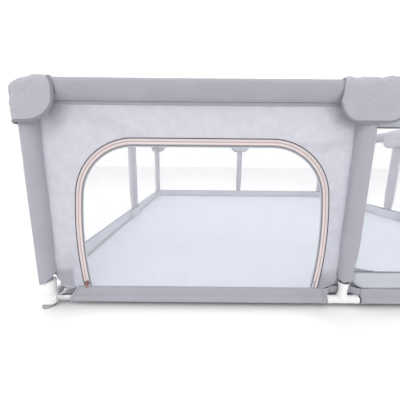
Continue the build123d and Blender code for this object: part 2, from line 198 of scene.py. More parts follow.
def math_node(tree, op, *values, clamp=False):
    """A sum on numbers and sockets."""
    n = node(tree, "ShaderNodeMath", operation=op, use_clamp=clamp)
    for i, v in enumerate(values):
        if isinstance(v, (int, float)):
            n.inputs[i].default_value = v
        else:
            link(tree, v, n.inputs[i])
    return n.outputs[0]


def ramp(tree, factor, *stops):
    """A colour ramp through (position, colour) stops."""
    n = node(tree, "ShaderNodeValToRGB")
    while len(n.color_ramp.elements) < len(stops):
        n.color_ramp.elements.new(0.5)
    for element, (position, colour) in zip(n.color_ramp.elements, stops):
        element.position = position
        element.color = colour
    link(tree, factor, n.inputs["Fac"])
    return n.outputs["Color"]


def shade(colour, k):
    return (min(1, colour[0] * k), min(1, colour[1] * k), min(1, colour[2] * k), 1)


def uv_map(tree):
    return node(tree, "ShaderNodeUVMap", uv_map="cloth").outputs["UV"]


def noise_node(tree, vector, scale, detail=3, roughness=0.55):
    n = node(tree, "ShaderNodeTexNoise")
    n.inputs["Scale"].default_value = scale
    n.inputs["Detail"].default_value = detail
    n.inputs["Roughness"].default_value = roughness
    link(tree, vector, n.inputs["Vector"])
    return n.outputs["Fac"]


def scaled(tree, vector, xyz):
    n = node(tree, "ShaderNodeMapping")
    n.inputs["Scale"].default_value = xyz
    link(tree, vector, n.inputs["Vector"])
    return n.outputs["Vector"]


def weave(tree, uv, pitch):
    """Height of a plain weave whose threads lie pitch metres apart, from the map's metres."""
    zoom = 20
    parts = []
    for name in "XY":
        wave = node(tree, "ShaderNodeTexWave", bands_direction=name)
        wave.inputs["Scale"].default_value = 1 / (zoom * pitch)
        wave.inputs["Distortion"].default_value = 0.35
        wave.inputs["Detail"].default_value = 1
        wave.inputs["Detail Scale"].default_value = 0.4
        link(tree, scaled(tree, uv, (zoom, zoom, zoom)), wave.inputs["Vector"])
        parts.append(wave.outputs["Fac"])
    return math_node(tree, "MULTIPLY", *parts)


def heather(tree, uv, colour, spread):
    """Melange yarn: short streaks both ways and a broad unevenness, about one colour."""
    across = noise_node(tree, scaled(tree, uv, (160, 1500, 1)), 1, 2, 0.5)
    along = noise_node(tree, scaled(tree, uv, (1500, 160, 1)), 1, 2, 0.5)
    broad = noise_node(tree, uv, 9, 3, 0.5)
    yarn = math_node(tree, "MULTIPLY", math_node(tree, "ADD", across, along), 0.36)
    total = math_node(tree, "MULTIPLY_ADD", broad, 0.28, yarn)
    dark, light = shade(colour, 1 - spread), shade(colour, 1 + spread)
    return ramp(tree, total, (0.30, dark), (0.5, colour), (0.70, light))


def bump(tree, bsdf, height, distance, strength):
    n = node(tree, "ShaderNodeBump")
    n.inputs["Strength"].default_value = strength
    n.inputs["Distance"].default_value = distance
    link(tree, height, n.inputs["Height"])
    link(tree, n.outputs["Normal"], bsdf.inputs["Normal"])


def cloth(name, colour, pitch=0.0011, spread=0.14, strength=0.5, sheen=0.25):
    """Opaque woven cloth."""
    mat, tree, bsdf = new_material(name, 0.88, Sheen_Weight=sheen, Sheen_Roughness=0.5,
                                   Specular_IOR_Level=0.25)
    uv = uv_map(tree)
    link(tree, heather(tree, uv, colour, spread), bsdf.inputs["Base Color"])
    bump(tree, bsdf, weave(tree, uv, pitch), 0.0004, strength)
    return mat


def mixed_shader(tree, factor, one, two):
    """One shader output mixed towards another by a number or a socket."""
    n = node(tree, "ShaderNodeMixShader")
    if isinstance(factor, float):
        n.inputs["Fac"].default_value = factor
    else:
        link(tree, factor, n.inputs["Fac"])
    link(tree, one.outputs[0], n.inputs[1])
    link(tree, two.outputs[0], n.inputs[2])
    return n


def see_through(name, colour, pitch, open_share, thread_share):
    """Net: threads and knots on a honeycomb, mixed with nothing where its holes are."""
    mat = bpy.data.materials.new(name)
    mat.use_nodes = True
    tree = mat.node_tree
    tree.nodes.clear()
    uv = uv_map(tree)
    cells = node(tree, "ShaderNodeTexVoronoi", feature="DISTANCE_TO_EDGE")
    cells.inputs["Scale"].default_value = 1 / pitch
    cells.inputs["Randomness"].default_value = 0.0
    link(tree, scaled(tree, uv, (1.0, math.sqrt(3) / 2, 1)), cells.inputs["Vector"])
    thread = range_node(tree, cells.outputs["Distance"], thread_share, open_share, (0.10, 0.22), "SMOOTHSTEP")
    uneven = noise_node(tree, uv, 30, 3, 0.5)
    shift = math_node(tree, "MULTIPLY_ADD", uneven, 0.10, -0.05)
    solid = math_node(tree, "ADD", thread, shift, clamp=True)
    tint = ramp(tree, uneven, (0.3, shade(colour, 0.95)), (0.7, shade(colour, 1.04)))
    diffuse, lit = node(tree, "ShaderNodeBsdfDiffuse"), node(tree, "ShaderNodeBsdfTranslucent")
    link(tree, tint, diffuse.inputs["Color"])
    link(tree, tint, lit.inputs["Color"])
    net = mixed_shader(tree, solid, node(tree, "ShaderNodeBsdfTransparent"),
                       mixed_shader(tree, 0.5, diffuse, lit))
    link(tree, net.outputs[0], node(tree, "ShaderNodeOutputMaterial").inputs["Surface"])
    return mat


def moulded(name, colour, roughness=0.35, grain=900, coat=0.0, wear=0.05):
    """Moulded plastic or rubber with a fine skin and faint unevenness."""
    mat, tree, bsdf = new_material(name, roughness, Coat_Weight=coat)
    place = node(tree, "ShaderNodeTexCoord").outputs["Object"]
    broad = noise_node(tree, place, 18, 4, 0.6)
    link(tree, ramp(tree, broad, (0.3, shade(colour, 1 - wear)), (0.7, colour)), bsdf.inputs["Base Color"])
    link(tree, range_node(tree, broad, roughness - 0.06, roughness + 0.10), bsdf.inputs["Roughness"])
    bump(tree, bsdf, noise_node(tree, place, grain, 2, 0.5), 0.0002, 0.25)
    return mat


def steel(name):
    """Plated tube, a little clouded."""
    mat, tree, bsdf = new_material(name, 0.18, Metallic=1.0)
    clouds = noise_node(tree, node(tree, "ShaderNodeTexCoord").outputs["Object"], 60, 5, 0.6)
    link(tree, ramp(tree, clouds, (0.3, srgb(196, 196, 198)), (0.7, srgb(226, 226, 228))),
         bsdf.inputs["Base Color"])
    link(tree, range_node(tree, clouds, 0.14, 0.30), bsdf.inputs["Roughness"])
    return mat


MATS = {
    "cover": cloth("cover_cloth", srgb(168, 167, 177)),
    "sleeve": cloth("sleeve_cloth", srgb(172, 170, 180)),
    "cap": cloth("cap_cloth", srgb(180, 178, 187)),
    "binding": cloth("binding_tape", srgb(143, 142, 151), 0.0007, 0.08),
    "low_sleeve": cloth("low_sleeve_cloth", srgb(176, 175, 184)),
    "band": cloth("band_cloth", srgb(194, 197, 206), 0.0009, 0.05, 0.3),
    "piping": cloth("piping_cloth", srgb(120, 120, 130), 0.0007, 0.08),
    "zip_tape": cloth("zip_tape_cloth", srgb(228, 214, 214), 0.0006, 0.05),
    "coil": moulded("zip_coil_nylon", srgb(196, 176, 176), 0.45),
    "flap_binding": cloth("flap_binding_tape", srgb(142, 142, 146), 0.0007, 0.08),
    "dark_cord": cloth("dark_piping", srgb(58, 58, 62), 0.0006, 0.10),
    "mat": cloth("mat_cloth", srgb(201, 207, 218), 0.0012, 0.03, 0.25, 0.1),
    "thread": cloth("sewing_thread", srgb(205, 204, 212), 0.0004, 0.05),
    "dark_thread": cloth("dark_sewing_thread", srgb(120, 119, 128), 0.0004, 0.05),
    "net": see_through("clear_net", srgb(226, 226, 229), 0.0028, 0.06, 0.50),
    "panel": see_through("dense_net", srgb(205, 204, 213), 0.0016, 0.90, 0.98),
    "white_plastic": moulded("white_plastic", srgb(246, 246, 246), 0.32, 700, 0.15, 0.03),
    "grey_plastic": moulded("grey_plastic", srgb(150, 150, 155), 0.5),
    "rubber": moulded("grey_rubber", srgb(172, 172, 176), 0.55, 500),
    "foam": moulded("foam", srgb(215, 214, 212), 0.95, 300),
    "steel": steel("plated_steel"),
    "zip_metal": moulded("lacquered_zip_metal", srgb(152, 112, 108), 0.4, 900, 0.2),
}


# ---------------------------------------------------------------- mesh helpers

def turned(quarter):
    return Matrix.Rotation(quarter * math.pi / 2, 4, "Z")


def wobble(p, scale, seed=0.0):
    """Smooth noise from -1 to 1 at a place, with features about scale metres across."""
    return noise.noise(Vector(p) / scale + Vector((seed, 3.7 * seed, 1.3 * seed)))


def bead(radius, sides=8):
    """A round section for a swept cord."""
    turns = [2 * math.pi * k / sides for k in range(sides)]
    return [(radius * math.cos(a), radius * math.sin(a)) for a in turns]


def ease(f):
    """A share kept between 0 and 1 and softened at both ends."""
    f = min(max(f, 0.0), 1.0)
    return f * f * (3 - 2 * f)


class Builder:
    """Collects grids and strips into one mesh, with a cloth map in metres."""

    def __init__(self):
        self.verts, self.faces, self.uvs = [], [], []

    def grid(self, rows, closed=False, flip=False):
        """Rows of points; u runs from row to row and v along a row, both in metres of cloth."""
        base = len(self.verts)
        wide = len(rows[0])
        u = 0
        for i, row in enumerate(rows):
            if i:
                u += (row[wide // 2] - rows[i - 1][wide // 2]).length
            v = 0
            for j, p in enumerate(row):
                if j:
                    v += (p - row[j - 1]).length
                self.verts.append(tuple(p))
                self.uvs.append((u, v))
        last = wide if closed else wide - 1
        for i in range(len(rows) - 1):
            for j in range(last):
                a = base + i * wide + j
                b = base + i * wide + (j + 1) % wide
                quad = (a, b, b + wide, a + wide)
                self.faces.append(quad[::-1] if flip else quad)

    def fan(self, ring, flip=False):
        """Closes a ring of points with a face, on its own vertices."""
        base = len(self.verts)
        self.verts += [tuple(p) for p in ring]
        self.uvs += [(p[0] + p[1], p[2]) for p in ring]
        face = tuple(range(base, base + len(ring)))
        self.faces.append(face[::-1] if flip else face)

    def rod(self, rows):
        """A closed section at each step of a run, with both ends shut."""
        self.grid(rows, closed=True)
        self.fan(rows[0])
        self.fan(rows[-1], True)

    def tube(self, path, section, normals):
        """Sweeps a section of (out, across) offsets along a path, with a normal at each point."""
        rows = []
        for i, p in enumerate(path):
            along = (path[min(i + 1, len(path) - 1)] - path[max(i - 1, 0)]).normalized()
            out = normals[i].normalized()
            across = along.cross(out).normalized()
            rows.append([p + out * s + across * t for s, t in section])
        self.rod(rows)

    def flat_map(self, a, b):
        """Lays the cloth map straight on two of the axes."""
        self.uvs = [(v[a], v[b]) for v in self.verts]

    def piece(self, name, mat, quarter=0):
        """The mesh object, turned about the pen's middle by quarter turns."""
        mesh = bpy.data.meshes.new(name)
        spin = turned(quarter)
        mesh.from_pydata([spin @ Vector(v) for v in self.verts], [], self.faces)
        layer = mesh.uv_layers.new(name="cloth")
        for loop in mesh.loops:
            layer.data[loop.index].uv = self.uvs[loop.vertex_index]
        mesh.materials.append(MATS[mat])
        for p in mesh.polygons:
            p.use_smooth = True
        mesh.validate()
        return show(name, mesh)


def stitches(build, path, normals, pitch=0.0045, length=0.0030, width=0.00045, rise=0.00035):
    """Thread dashes laid along a path, each a low six-sided bead."""
    total, marks = 0.0, [0.0]
    for a, b in zip(path, path[1:]):
        total += (b - a).length
        marks.append(total)

    def at(s):
        for k in range(1, len(marks)):
            if s <= marks[k] or k == len(marks) - 1:
                span = max(marks[k] - marks[k - 1], 1e-9)
                f = min(max((s - marks[k - 1]) / span, 0), 1)
                return path[k - 1].lerp(path[k], f), normals[k - 1].lerp(normals[k], f).normalized()

    for i in range(int((total - length) / pitch)):
        s = i * pitch + pitch / 2
        p, n = at(s)
        q, _ = at(s + length)
        along = (q - p).normalized()
        across = along.cross(n).normalized()
        base = len(build.verts)
        middle = (p + q) / 2 + n * rise
        ends = ((p, 0.35), (middle, 1.0), (q, 0.35))
        for c, k in ends:
            for s2, t2 in ((0, 1), (0.9, 0), (0, -1)):
                build.verts.append(tuple(c + n * (rise * s2 * k) + across * (width * t2 * k)))
                build.uvs.append((s, t2 * width))
        for r in range(2):
            for c in range(2):
                a = base + r * 3 + c
                build.faces.append((a, a + 1, a + 4, a + 3))


def thicken(piece, thickness, offset=0.0):
    mod = piece.modifiers.new("cloth_thickness", "SOLIDIFY")
    mod.thickness = thickness
    mod.offset = offset
    mod.use_rim = True


def grid_area(rows):
    """Area of the cloth that a grid of points makes."""
    return sum((b[j] - a[j]).cross(a[j + 1] - a[j]).length
               for a, b in zip(rows, rows[1:]) for j in range(len(a) - 1))


def settle(piece, body, slot, *nodes):
    """Rides a piece on a body, in place of any CAD nodes; the slot is not used."""
    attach(piece, body)
    if nodes:
        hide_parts(*nodes)


# ---------------------------------------------------------------- padded top rails

def rail_covers(side, quarter):
    """Cloth tubes round the two padded top rails of a side, closed by a hem along the bottom."""
    build, threads, groove_shade_cords = Builder(), Builder(), Builder()
    radius, lip, gap = 0.0282, 0.0085, 0.034
    around, steps = 44, 150
    outs = [Vector((0, -1, 0))] * (steps + 1)
    for start, end in ((-HALF + gap, -gap), (gap, HALF - gap)):
        rows, hem = [], []
        for i in range(steps + 1):
            x = start + (end - start) * i / steps
            near = min(x - start, end - x)
            pucker = 0.0004 + 0.0009 * math.exp(-near / 0.07)
            sag = 0.0008 * math.sin(math.pi * (x - start) / (end - start))
            row = []
            for j in range(around):
                a = math.radians(-84 + 348 * j / (around - 1))
                out = Vector((0, math.cos(a), math.sin(a)))
                place = Vector((x * 0.45, out.y * 0.05, out.z * 0.05))
                r = radius + pucker * wobble(place, 0.022, quarter + 1.5)
                r += 0.0005 * wobble((x, a, 0), 0.16, quarter)
                row.append(Vector((x, -HALF, RAIL_Z - sag)) + out * r)
            foot = RAIL_Z - sag - radius - lip
            wave = 0.0006 * wobble((x, 0, 0), 0.05, quarter + 4)
            y = -HALF + wave
            row = [Vector((x, y + 0.0016, foot)), Vector((x, y + 0.0018, foot + lip * 0.6))] + row
            row += [Vector((x, y - 0.0018, foot + lip * 0.6)), Vector((x, y - 0.0016, foot))]
            rows.append(row)
            hem.append(Vector((x, y - 0.0021, foot + lip * 0.45)))
        build.rod(rows)
        stitches(threads, hem, outs)
        # A dark cord laid along the top of the hem's lip, where it meets the tube: painted shade of the
        # seam's groove.
        painted_groove_shade = [p + Vector((0, -0.0014, lip * 0.52)) for p in hem]
        groove_shade_cords.tube(painted_groove_shade, bead(0.0008, 6), outs)
    piece = build.piece(f"rail_cover_cloth_{side}", "cover", quarter)
    # The dark cord of painted groove shade becomes its own piece.
    settle(groove_shade_cords.piece(f"rail_cover_groove_shade_{side}", "piping", quarter), "pen", "grey_fabric")
    settle(piece, "pen", "grey_fabric", f"top_rail_covers_{side}", "top_rail_pads")
    seam = threads.piece(f"rail_cover_stitches_{side}", "thread", quarter)
    settle(seam, "pen", "grey_fabric")


# ---------------------------------------------------------------- post sleeves

def post_sleeve(name, centre, quarter, low_r, lean):
    """Cloth tube round a post, drawn in a little at its foot, with two rows of stitches round its foot."""
    build = Builder()
    cx, cy = centre
    top, low = 0.588, 0.094 if "middle" in name else 0.097
    around, steps = 48, 90
    rows = []
    for i in range(steps + 1):
        f = i / steps
        row = []
        for j in range(around):
            a = 2 * math.pi * j / around
            out = Vector((math.cos(a), math.sin(a), 0))
            foot = low + lean * (out.x + out.y)
            z = foot + (top - foot) * f
            r = low_r + (SLEEVE_R - low_r) * ease((z - low) / 0.12)
            fold = wobble((out.x * 0.03, out.y * 0.03, z * 0.22), 0.020, cx * 9 + cy * 5 + quarter)
            near_foot = math.exp(-(z - low) / 0.05)
            r += 0.0007 * fold * (1 + 1.2 * near_foot)
            r += 0.0006 * wobble((a, z, 0), 0.12, quarter + 2)
            row.append(Vector((cx, cy, z)) + out * r)
        rows.append(row)
    build.grid(rows, closed=True, flip=True)
    cloth_piece = build.piece(f"{name}_cloth", "sleeve", quarter)
    thicken(cloth_piece, 0.0016, -1)
    settle(cloth_piece, "pen", "grey_fabric", name)
    hem = Builder()
    for lift in (0.004, 0.0085):
        path, outs = [], []
        for j in range(around * 2 + 1):
            a = math.pi * j / around
            out = Vector((math.cos(a), math.sin(a), 0))
            path.append(Vector((cx, cy, low + lean * (out.x + out.y) + lift)) + out * (low_r + 0.0008))
            outs.append(out)
        stitches(hem, path, outs, rise=0.0006)
    settle(hem.piece(f"{name}_stitches", "thread", quarter), "pen", "grey_fabric")


# ---------------------------------------------------------------- caps

def vault_section(t, half, low_out, low_in, flare=0.0):
    """A point (across, z) on an upright-sided arch, by share t of its length from the outside foot."""
    left, arc, right = RAIL_Z - low_out, math.pi * half, RAIL_Z - low_in
    s = t * (left + arc + right)
    if s < left:
        return -half - flare * (1 - s / left), low_out + s
    if s < left + arc:
        a = math.pi - (s - left) / half
        return half * math.cos(a), RAIL_Z + half * math.sin(a)
    return half, RAIL_Z - (s - left - arc)


def cap_hem(t, end_z=0.589):
    """Height of a cap's lower edge by t, the distance along from its end over the curve's reach."""
    t = min(max(t, 0.0), 1.0)
    return end_z - (end_z - CAP_LOW) * (1 - (1 - t) ** 2.2) ** (1 / 1.7)


def cap_end(z, top, front, low):
    """How far a cap reaches along its rail at a height: on top, at the rail's front and below it."""
    if z > RAIL_Z:
        return front - (front - top) * min(1, (z - RAIL_Z) / 0.033) ** 1.8
    return front - (front - low) * min(1, (RAIL_Z - z) / 0.030) ** 1.5


def smooth_rows(rows, times):
    """Relaxes a grid of points towards their neighbours' middle, edges held."""
    for _ in range(times):
        new = [list(r) for r in rows]
        for i in range(1, len(rows) - 1):
            for j in range(1, len(rows[0]) - 1):
                middle = (rows[i - 1][j] + rows[i + 1][j] + rows[i][j - 1] + rows[i][j + 1]) / 4
                new[i][j] = rows[i][j].lerp(middle, 0.5)
        rows = new
    return rows


def way_in(p, corner):
    """The way into a cap from its cloth: square to the nearer rail, and level below the rail."""
    rise = max(p.z - RAIL_Z, 0)
    one = Vector((min(p.x + HALF, 0) if corner else 0, p.y + HALF, rise))
    two = Vector((p.x + HALF, min(p.y + HALF, 0), rise))
    return -(two if corner and two.length < one.length else one).normalized()


def crease(p, seed):
    """How far a cap stands out, in metres, by broad dents and creases that cross each other aslant."""
    x, y, z = p
    one = wobble((0.25 * (0.8 * x + 0.6 * z), 0.35 * y, 0.8 * z - 0.6 * x), 0.020, seed + 3)
    two = wobble((0.25 * (0.7 * x - 0.7 * z), 0.35 * y, 0.7 * z + 0.7 * x), 0.027, seed + 7)
    folds = max(0.0, 1 - 2.2 * abs(one)) ** 1.5 * 0.0030 + max(0.0, 1 - 2.0 * abs(two)) ** 1.5 * 0.0026
    return 0.0004 + 0.0030 * (0.5 + wobble(p, 0.045, seed)) + folds


def edge_band(grid, normals, end):
    """A grid's edge as a closed path whose run stops at point end of the first row,
    with the way in from it and out of the cloth at each point."""
    last, wide = len(grid) - 1, len(grid[0]) - 1
    run = [(i, 0) for i in range(last + 1)] + [(last, j) for j in range(1, wide + 1)]
    run += [(i, wide) for i in range(last - 1, -1, -1)] + [(0, j) for j in range(wide - 1, end - 1, -1)]
    path, outs = [], []
    for i, j in run:
        if not path or (grid[i][j] - path[-1]).length > 0.0022:
            path.append(grid[i][j])
            outs.append(-normals[i][j])
    count = len(path)

    def softened(ways, times):
        for _ in range(times):
            ways = [(ways[k - 1] + ways[k] * 2 + ways[(k + 1) % count]).normalized() for k in range(count)]
        return ways

    outs = softened(outs, 3)
    inward = [outs[k].cross(path[(k + 1) % count] - path[k - 1]).normalized() for k in range(count)]
    inward = softened(inward, 6)
    return path + path[:1], inward + inward[:1], outs + outs[:1]


def finish_cap(name, rows, quarter, seed, seam_row=None):
    """Turns a cap's grid into cloth, a bound edge and its stitches."""
    corner = seam_row is not None
    last, wide = len(rows) - 1, len(rows[0]) - 1
    puffed = []
    for i, row in enumerate(rows):
        loose = [min(1, min(i, last - i, j, wide - j) / 14) for j in range(wide + 1)]
        puffed.append([p - way_in(p, corner) * (0.0004 + 0.85 * f * crease(p, seed))
                       for p, f in zip(row, loose)])
    normals = [[way_in(p, corner) for p in row] for row in puffed]
    build = Builder()
    build.grid(puffed, flip=True)
    cap = build.piece(f"{name}_cloth", "cap", quarter)
    thicken(cap, 0.0014)
    settle(cap, "pen", "cap_fabric", name)
    side = round(math.sqrt(grid_area(puffed)), 3)
    tape, threads = Builder(), Builder()
    width, half = 0.0062, 0.0011
    profile = ((-0.0012, 0.0008), (-0.0004, half), (width / 2, half + 0.0002), (width - 0.0005, half),
               (width, 0.0006), (width, -0.0010), (width - 0.0005, -half), (-0.0004, -half),
               (-0.0012, -0.0008))
    path, inward, outs = edge_band(puffed, normals, 1 if corner else 0)
    tape.rod([[p + inn * a + out * b for a, b in profile] for p, inn, out in zip(path, inward, outs)])
    for lift in (0.0012, width - 0.0014):
        line = [p + inn * lift + out * (half + 0.0001) for p, inn, out in zip(path, inward, outs)]
        stitches(threads, line, outs, rise=0.0005)
    if corner:
        places = [(seam_row, j) for j in range(2, int(wide * 0.36))]
        line = [puffed[i][j] - normals[i][j] * 0.0010 for i, j in places]
        stitches(threads, line, [-normals[i][j] for i, j in places], rise=0.0005)
    settle(tape.piece(f"{name}_binding", "binding", quarter), "pen", "cap_fabric")
    settle(threads.piece(f"{name}_stitches", "dark_thread", quarter), "pen", "cap_fabric")


def mid_cap(side, quarter):
    """Saddle of cloth over the middle of a side, with rounded lower corners."""
    half = 0.0300
    count, around = 84, 84
    rows = []
    for i in range(count + 1):
        g = -math.cos(math.pi * i / count)
        row = []
        for j in range(around + 1):
            low = cap_hem((1 - abs(g)) * 0.088 / 0.058)
            across, z = vault_section(j / around, half, low, low)
            row.append(Vector((g * cap_end(z, 0.071, 0.085, 0.089), -HALF + across, z)))
        rows.append(row)
    finish_cap(f"mid_cap_{side}", rows, quarter, 11.0 + quarter)


def corner_cap(corner, quarter):
    """Hood of cloth over a corner's two rails, sewn up the outside corner."""
    half, bend, flare, reach = 0.0306, 0.004, 0.005, 0.086
    count, turn, around = 40, 16, 84

    def arm(flip):
        rows = []
        for i in range(count + 1):
            f = math.sin(math.pi / 2 * i / count) if i < count else 1.0
            f = 0.5 * f + 0.5 * i / count
            row = []
            for j in range(around + 1):
                low_out = cap_hem(reach * f / 0.080, 0.597)
                low_in = cap_hem((reach - half) * f / 0.050)
                across, z = vault_section(j / around, half, low_out, low_in, flare)
                end = -HALF + cap_end(z, 0.057, 0.084, 0.087)
                start = -HALF + max(across, 0.0) + bend
                x = end + (start - end) * f
                row.append(Vector((-HALF + across, x, z) if flip else (x, -HALF + across, z)))
            rows.append(row)
        return rows

    rows = arm(False)
    for k in range(1, turn):
        a = math.pi / 2 * k / turn
        row = []
        for j in range(around + 1):
            across, z = vault_section(j / around, half, CAP_LOW, CAP_LOW, flare)
            centre = -HALF + max(across, 0.0) + bend
            r = bend + max(-across, 0.0) * (1 + 0.06 * math.sin(2 * a))
            row.append(Vector((centre - r * math.sin(a), centre - r * math.cos(a), z)))
        rows.append(row)
    rows = smooth_rows(rows + arm(True)[::-1], 4)
    for row in rows:
        for p in row:
            near = ease((-HALF + 0.052 - max(p.x, p.y)) / 0.060)
            p.z -= 0.0135 * near * min(max((p.z - 0.600) / 0.050, 0), 1)

    finish_cap(f"corner_cap_{corner}", rows, quarter, 31.0 + 5 * quarter, count + turn // 2 - 2)


# ---------------------------------------------------------------- bottom rail sleeves

def hem_section(x, start, end, quarter):
    """Section of the cloth round a bottom rail: a flat hem, then the pocket that holds the tube."""
    radius, seam_z, seam_y = 0.0121, 0.0395, 0.0034
    near = max(0.0, 1 - min(x - start, end - x) / 0.05)
    points = []
    for k in range(7):
        f = k / 6
        ripple = 0.0006 * wobble((x * 0.8, f * 0.01, 0), 0.014, quarter + 6) * (1 - f) * (1 + near)
        points.append((-0.0016 - (seam_y - 0.0016) * f + ripple, HEM_TOP - (HEM_TOP - seam_z) * f))
    for k in range(1, 28):
        a = math.radians(112 + 316 * k / 28)
        r = radius * (1 + 0.025 * wobble((x, a * 0.02, 0), 0.03, quarter + 8))
        points.append((r * math.cos(a), LOW_RAIL_Z + r * math.sin(a)))
    for k in range(6, -1, -1):
        f = k / 6
        points.append((0.0016 + (seam_y - 0.0016) * f, HEM_TOP - (HEM_TOP - seam_z) * f))
    return points


def bottom_sleeves(side, quarter):
    """Cloth folded round the two bottom rails of a side, its hem standing above them."""
    build, threads, folds = Builder(), Builder(), Builder()
    corner, tee, slant = 0.826, 0.053, 0.022
    for sign in (-1, 1):
        start, end = sorted((sign * corner, sign * tee))
        rows, line, low_line = [], [], []
        steps = 170
        for i in range(steps + 1):
            x = start + (end - start) * i / steps
            to_corner = (corner - abs(x)) / (corner - tee)
            row = []
            for y, z in hem_section(x, start, end, quarter):
                cut = slant * min(max((z - 0.031) / 0.031, 0), 1) * max(0, 1 - to_corner * 14)
                row.append(Vector((x - sign * cut, -HALF + y, z)))
            rows.append(row)
            if 0 < i < steps:
                line.append(row[1] + Vector((0, -0.0006, 0)))
                low_line.append(row[5] + Vector((0, -0.0008, 0.0005)))
        build.grid(rows)
        outs = [Vector((0, -1, 0.1))] * len(line)
        stitches(threads, line, outs, rise=0.0005)
        stitches(threads, low_line, outs, rise=0.0005)
        for edge, inner in ((0, 2), (steps, steps - 2)):
            near, far = [], []
            for a, b in zip(rows[edge], rows[inner]):
                out = a - Vector((a.x, -HALF, max(LOW_RAIL_Z, min(a.z, HEM_TOP))))
                out = out.normalized() if out.length > 1e-6 else Vector((0, -1, 0))
                near.append(a + out * 0.0007)
                far.append(b + out * 0.0012)
            folds.grid([near, far])
    behind = []
    for i in range(29):
        x = -0.060 + 0.120 * i / 28
        y = -HALF + 0.0142 * ease((0.052 - abs(x)) / 0.022) - 0.0008
        behind.append([Vector((x, y, z)) for z in (0.0370, 0.0450, 0.0530, 0.0575, 0.0618)])
    build.grid(behind, flip=True)
    sleeve = build.piece(f"bottom_sleeve_cloth_{side}", "low_sleeve", quarter)
    thicken(sleeve, 0.0012)
    settle(sleeve, "pen", "grey_fabric", f"bottom_rail_sleeves_{side}")
    settle(threads.piece(f"bottom_sleeve_stitches_{side}", "thread", quarter), "pen", "grey_fabric")
    ends = folds.piece(f"bottom_sleeve_turned_ends_{side}", "low_sleeve", quarter)
    thicken(ends, 0.0012)
    settle(ends, "pen", "grey_fabric")


# ---------------------------------------------------------------- net walls

def panel_edge(z, across=0.054, up=0.032):
    """How far a panel's side edge is cut in at a height, by the arc at its lower corner."""
    low = z - PANEL_LOW
    if low >= up:
        return 0.0
    return across * (1 - math.sqrt(max(0.0, 1 - (1 - low / up) ** 2))) ** 0.86


def sway(px, z, seed):
    """How far a net wall stands out of its plane."""
    return 0.0012 * wobble((px, 0.35 * z, 0), 0.16, seed)


def wall_sheet(name, mat, x, z0, z1, quarter, steps=24, thick=0.0):
    """A level strip of one bay's wall between two heights, and its area."""
    rows = []
    cols = 72
    for i in range(steps + 1):
        z = z0 + (z1 - z0) * i / steps
        row = []
        for j in range(cols + 1):
            px = x + (-1 + 2 * j / cols) * (PANEL_HALF - panel_edge(z))
            y = sway(px, z, quarter + x) + 0.0006 * wobble((px, z, 0), 0.05, quarter + 3)
            row.append(Vector((px, -HALF + y, z)))
        rows.append(row)
    build = Builder()
    build.grid(rows)
    build.flat_map(0, 2)
    piece = build.piece(name, mat, quarter)
    if thick:
        thicken(piece, thick)
    return piece, grid_area(rows)


def net_bay(side, quarter, x, node_name, bay):
    """One bay of clear net, with a cloth band along its foot, and one on top beside the doorway."""
    tag = f"{side}_{bay}"
    low = BAND_TOP - 0.002
    high = TOP_BAND_LOW if (side, bay) == ("front", "right") else PANEL_TOP
    net, _ = wall_sheet(f"net_{tag}", "net", x, low, high, quarter)
    settle(net, "pen", "net_fabric", node_name)
    bands = [("foot", PANEL_LOW, BAND_TOP, f"bottom_rail_sleeves_{side}")]
    if high < PANEL_TOP:
        bands.append(("top", high, PANEL_TOP, f"top_rail_covers_{side}"))
    piping, threads = Builder(), Builder()
    for where, z0, z1, under in bands:
        band, area = wall_sheet(f"net_{where}_band_{tag}", "band", x, z0, z1, quarter, 8, SKIN)
        settle(band, "pen", "net_fabric", node_name)
        round(min(area, 2 * PANEL_HALF * (z1 - z0)), 4)
        z, lift = (z0, 0.0045) if where == "top" else (z1, -0.0045)
        path = []
        for j in range(61):
            px = x + PANEL_HALF * (-1 + 2 * j / 60)
            path.append(Vector((px, -HALF + sway(px, z, quarter + x), z)))
        outs = [Vector((0, -1, 0))] * len(path)
        piping.tube(path, bead(PIPING), outs)
        stitches(threads, [p + Vector((0, -0.0009, lift)) for p in path], outs, rise=0.0005)
    settle(piping.piece(f"net_piping_{tag}", "piping", quarter), "pen", "net_fabric")
    settle(threads.piece(f"net_stitches_{tag}", "thread", quarter), "pen", "net_fabric")


def corner_binding(side, quarter):
    """Bound edges of a side's rounded panel corners, four of them, down beside the joints."""
    build = Builder()
    for middle in (-HALF / 2, HALF / 2):
        for way in (-1, 1):
            path = []
            for k in range(25):
                z = PANEL_LOW + 0.001 + 0.040 * (k / 24) ** 1.6
                x = middle + way * (PANEL_HALF - panel_edge(z) - 0.001)
                path.append(Vector((x, -HALF - 0.0003, z)))
            build.tube(path, [(a, 2 * b) for a, b in bead(0.0013)], [Vector((0, -1, 0))] * len(path))
    settle(build.piece(f"panel_corner_binding_{side}", "low_sleeve", quarter), "pen", "net_fabric")


def inner_skirt(side, quarter):
    """The foot band where it passes inside a side's middle post and the corner post at its left."""
    deep = BAND_TOP - MAT_LOW
    near, end, turn = -0.8845, -0.815, -0.887
    build, edge = Builder(), Builder()
    middle, corner = [], []
    for k in range(41):
        t = k / 40
        x = 0.088 * (2 * t - 1)
        middle.append((x, -HALF + 0.0045 + 0.0165 * ease((0.086 - abs(x)) / 0.054)))
        a, b, c = (1 - t) ** 2, 2 * t * (1 - t), t * t
        corner.append((a * near + b * turn + c * end, a * end + b * turn + c * near))
    length = 0.0
    for run in (middle, corner):
        length += sum(math.dist(p, q) for p, q in zip(run, run[1:]))
        build.grid([[Vector((x, y, MAT_LOW + deep * k / 6)) for k in range(7)] for x, y in run])
        edge.tube([Vector((x, y, BAND_TOP)) for x, y in run], bead(PIPING), [Vector((0, 0, 1))] * len(run))
    skirt = build.piece(f"inner_skirt_{side}", "band", quarter)
    thicken(skirt, SKIN)
    settle(skirt, "pen", "net_fabric")
    settle(edge.piece(f"inner_skirt_piping_{side}", "piping", quarter), "pen", "net_fabric")


# ---------------------------------------------------------------- doorway

